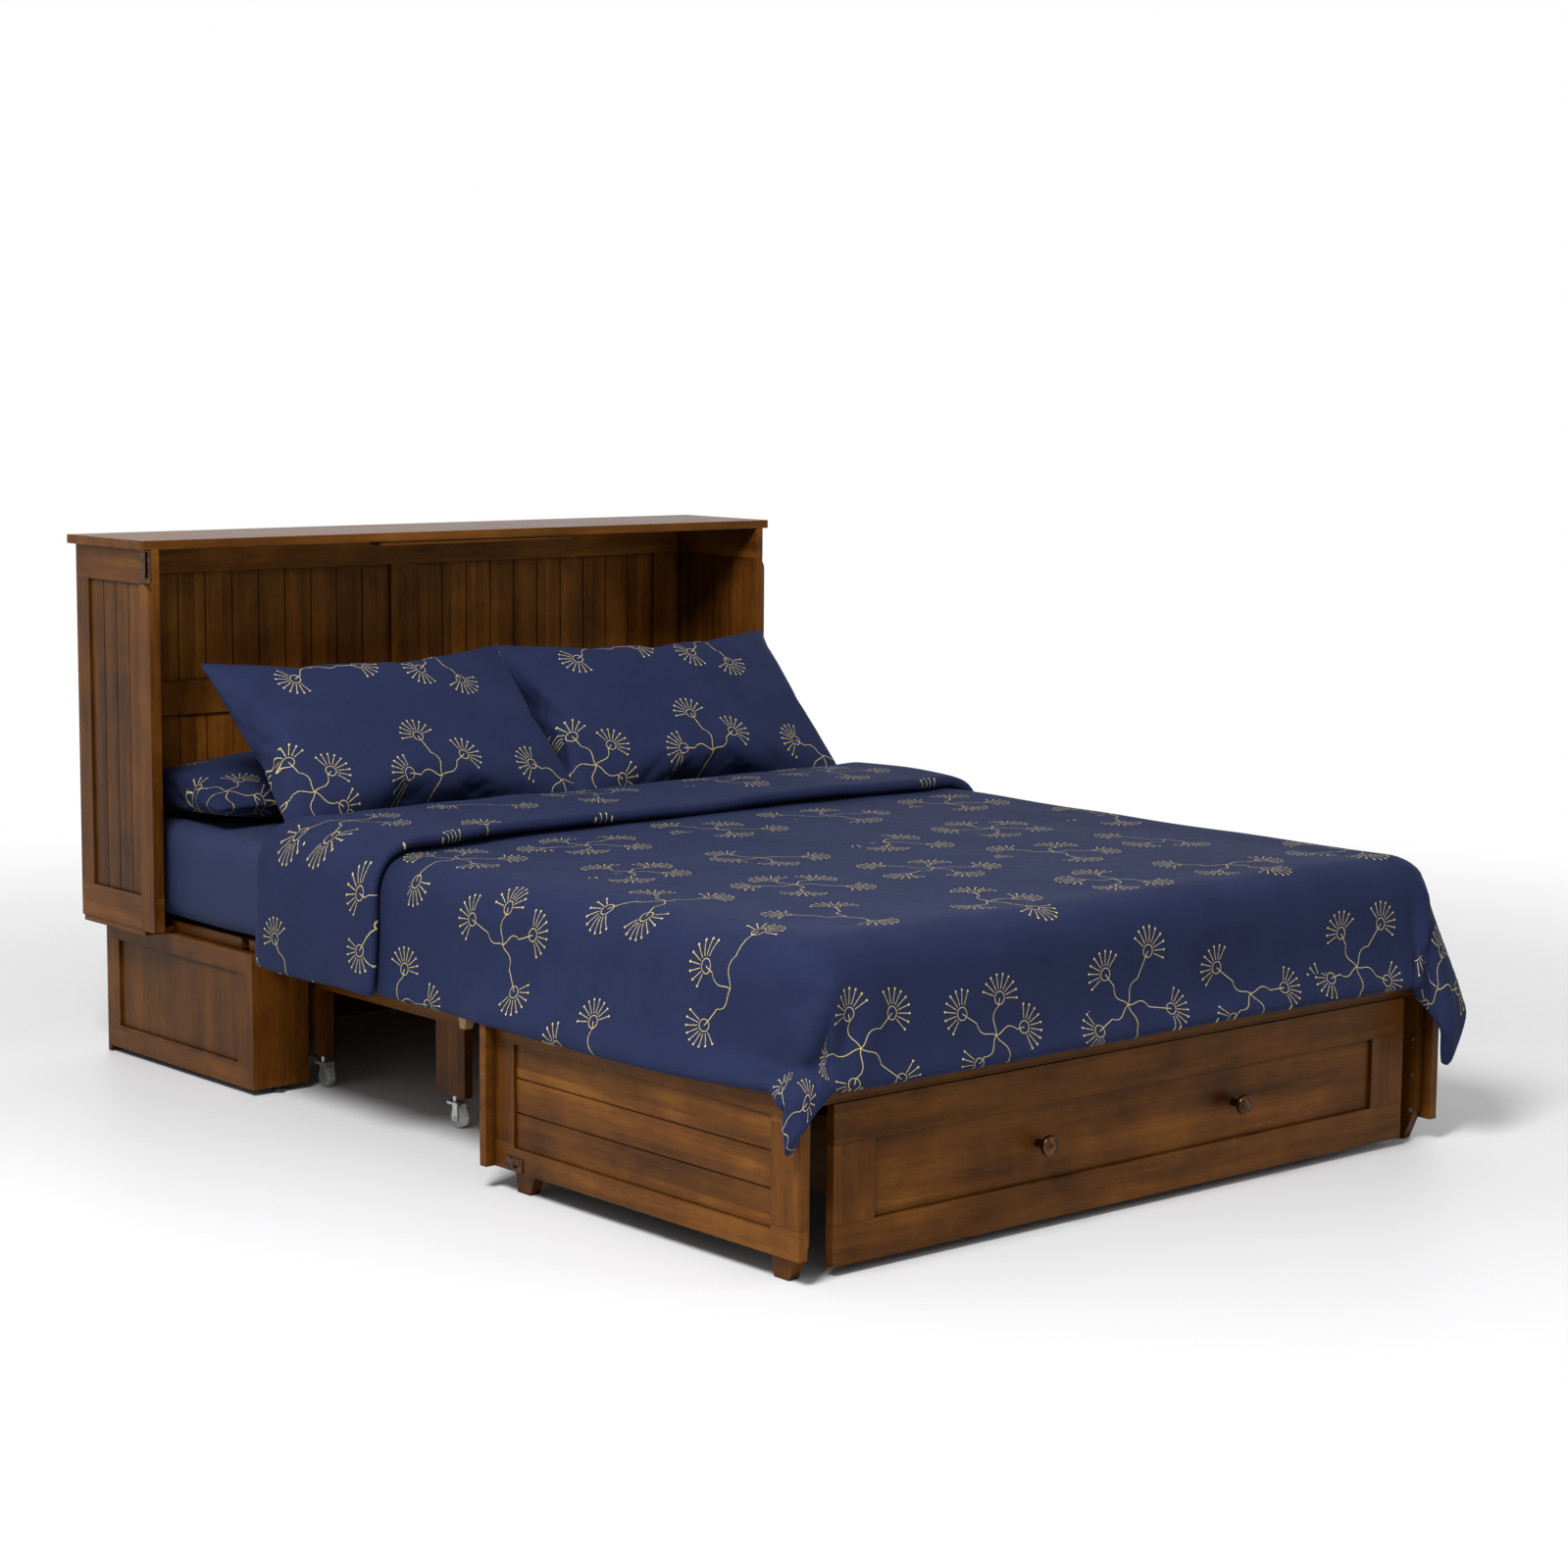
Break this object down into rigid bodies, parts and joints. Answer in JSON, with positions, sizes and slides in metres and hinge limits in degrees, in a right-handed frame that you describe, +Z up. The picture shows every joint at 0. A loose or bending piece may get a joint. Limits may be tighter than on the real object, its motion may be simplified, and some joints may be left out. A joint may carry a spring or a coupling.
{
  "type": "cabinet wall bed",
  "caption": "Freestanding fold-away bed cabinet shown open, with a rear cabinet, rolling leg frame, fold-up front, drawer and bedding.",
  "frame": {"origin": "on the floor at the middle of the cabinet's flat back", "axes": "+Z up, -Y towards the foot of the bed, +X to the right when looking from the foot to the head"},
  "size_m": [1.692, 2.301, 1.09],
  "materials": {
    "wood": "satin stained wood with a dark glaze",
    "slat_wood": "plain sanded wood",
    "steel": "zinc plated",
    "dark_metal": "dark bronze",
    "black_plastic": "moulded",
    "clear_plastic": "clear moulded",
    "sheet_fabric": "navy cotton",
    "duvet_fabric": "navy cotton with a cream stitched pattern"
  },
  "bodies": {
    "cabinet": {"rear_top": "wood", "top_finger_strip": "wood", "side_frames": "wood", "side_panels": "wood", "side_battens": "wood", "side_ledges": "wood", "headboard_frame": "wood", "headboard_panels": "wood", "base_side_frames": "wood", "base_side_panels": "wood", "base_return_boards": "wood", "base_back_board": "wood", "levelers": "black_plastic", "head_deck_frame": "wood", "head_deck_slats": "slat_wood", "latch_plates": "dark_metal"},
    "left_latch": {"latch_lever_left": "dark_metal"},
    "right_latch": {"latch_lever_right": "dark_metal"},
    "leg_frame": {"leg_frame_sides": "wood", "leg_frame_cross_rails": "wood"},
    "drawer_unit": {"drawer_unit_carcass": "wood", "drawer_unit_cornice": "wood", "roller_brackets": "steel", "slide_rails_outer": "steel", "fold_hinge_unit_leaves": "steel", "fold_hinge_pins": "steel"},
    "drawer": {"drawer_front_frame": "wood", "drawer_front_panel": "wood", "drawer_box": "slat_wood", "slide_rails_inner": "steel", "drawer_knobs": "dark_metal"},
    "front": {"front_top": "wood", "front_side_frames": "wood", "front_side_boards": "wood", "front_face_frame": "wood", "front_face_panels": "wood", "leg_boards": "wood", "leg_board_screws": "steel", "latch_keepers": "dark_metal", "fold_hinge_front_leaves": "steel"},
    "middle_deck": {"middle_deck_frame": "wood", "middle_deck_slats": "slat_wood", "middle_deck_blocks": "wood"},
    "bedding": {"mattress": "sheet_fabric", "front_pillow_left": "duvet_fabric", "front_pillow_right": "duvet_fabric", "back_pillows": "duvet_fabric", "duvet": "duvet_fabric"},
    "caster_head_left": {"caster_fork_head_left": "steel"},
    "wheel_head_left": {"caster_wheel_head_left": "clear_plastic"},
    "caster_head_right": {"caster_fork_head_right": "steel"},
    "wheel_head_right": {"caster_wheel_head_right": "clear_plastic"},
    "caster_foot_left": {"caster_fork_foot_left": "steel"},
    "wheel_foot_left": {"caster_wheel_foot_left": "clear_plastic"},
    "caster_foot_right": {"caster_fork_foot_right": "steel"},
    "wheel_foot_right": {"caster_wheel_foot_right": "clear_plastic"},
    "roller_1": {"roller_wheel_1": "clear_plastic"},
    "roller_2": {"roller_wheel_2": "clear_plastic"},
    "roller_3": {"roller_wheel_3": "clear_plastic"},
    "roller_4": {"roller_wheel_4": "clear_plastic"}
  },
  "joints": [
    {"name": "unit_roll", "type": "slide", "parent": "cabinet", "child": "drawer_unit", "axis": [0, 1, 0], "range_m": [0, 1.6751]},
    {"name": "front_fold", "type": "hinge", "parent": "drawer_unit", "child": "front", "pos_m": [0, -2.24, 0.3], "axis": [1, 0, 0], "range_deg": [0, 90]},
    {"name": "leg_frame_roll", "type": "slide", "parent": "cabinet", "child": "leg_frame", "axis": [0, 1, 0], "range_m": [0, 0.5221]},
    {"name": "middle_deck_lift", "type": "slide", "parent": "cabinet", "child": "middle_deck", "axis": [0, 0, 1], "range_m": [0, 1.8801]},
    {"name": "bedding_lift", "type": "slide", "parent": "cabinet", "child": "bedding", "axis": [0, -0.6, 0.8], "range_m": [0, 2.3501]},
    {"name": "drawer_slide", "type": "slide", "parent": "drawer_unit", "child": "drawer", "axis": [0, -1, 0], "range_m": [0, 0.36]},
    {"name": "left_latch_turn", "type": "hinge", "parent": "cabinet", "child": "left_latch", "pos_m": [-0.8, -0.285, 1.02], "axis": [1, 0, 0], "range_deg": [0, 90]},
    {"name": "right_latch_turn", "type": "hinge", "parent": "cabinet", "child": "right_latch", "pos_m": [0.8, -0.285, 1.02], "axis": [1, 0, 0], "range_deg": [0, 90]},
    {"name": "swivel_head_left", "type": "hinge", "parent": "leg_frame", "child": "caster_head_left", "pos_m": [-0.578, -0.57, 0.055], "axis": [0, 0, 1], "continuous": true},
    {"name": "spin_head_left", "type": "hinge", "parent": "caster_head_left", "child": "wheel_head_left", "pos_m": [-0.578, -0.584, 0.02], "axis": [1, 0, 0], "continuous": true},
    {"name": "swivel_head_right", "type": "hinge", "parent": "leg_frame", "child": "caster_head_right", "pos_m": [0.578, -0.57, 0.055], "axis": [0, 0, 1], "continuous": true},
    {"name": "spin_head_right", "type": "hinge", "parent": "caster_head_right", "child": "wheel_head_right", "pos_m": [0.578, -0.584, 0.02], "axis": [1, 0, 0], "continuous": true},
    {"name": "swivel_foot_left", "type": "hinge", "parent": "leg_frame", "child": "caster_foot_left", "pos_m": [-0.578, -1.031, 0.055], "axis": [0, 0, 1], "continuous": true},
    {"name": "spin_foot_left", "type": "hinge", "parent": "caster_foot_left", "child": "wheel_foot_left", "pos_m": [-0.578, -1.045, 0.02], "axis": [1, 0, 0], "continuous": true},
    {"name": "swivel_foot_right", "type": "hinge", "parent": "leg_frame", "child": "caster_foot_right", "pos_m": [0.578, -1.031, 0.055], "axis": [0, 0, 1], "continuous": true},
    {"name": "spin_foot_right", "type": "hinge", "parent": "caster_foot_right", "child": "wheel_foot_right", "pos_m": [0.578, -1.045, 0.02], "axis": [1, 0, 0], "continuous": true},
    {"name": "roller_spin_1", "type": "hinge", "parent": "drawer_unit", "child": "roller_1", "pos_m": [-0.516, -2.2, 0.02], "axis": [1, 0, 0], "continuous": true},
    {"name": "roller_spin_2", "type": "hinge", "parent": "drawer_unit", "child": "roller_2", "pos_m": [-0.516, -1.85, 0.02], "axis": [1, 0, 0], "continuous": true},
    {"name": "roller_spin_3", "type": "hinge", "parent": "drawer_unit", "child": "roller_3", "pos_m": [0.516, -2.2, 0.02], "axis": [1, 0, 0], "continuous": true},
    {"name": "roller_spin_4", "type": "hinge", "parent": "drawer_unit", "child": "roller_4", "pos_m": [0.516, -1.85, 0.02], "axis": [1, 0, 0], "continuous": true}
  ],
  "couplings": [
    {"joint": "unit_roll", "follows": "front_fold", "m_per_rad": 1.0663},
    {"joint": "leg_frame_roll", "follows": "front_fold", "m_per_rad": 0.33232},
    {"joint": "middle_deck_lift", "follows": "front_fold", "m_per_rad": 1.1968},
    {"joint": "bedding_lift", "follows": "front_fold", "m_per_rad": 1.4961}
  ]
}
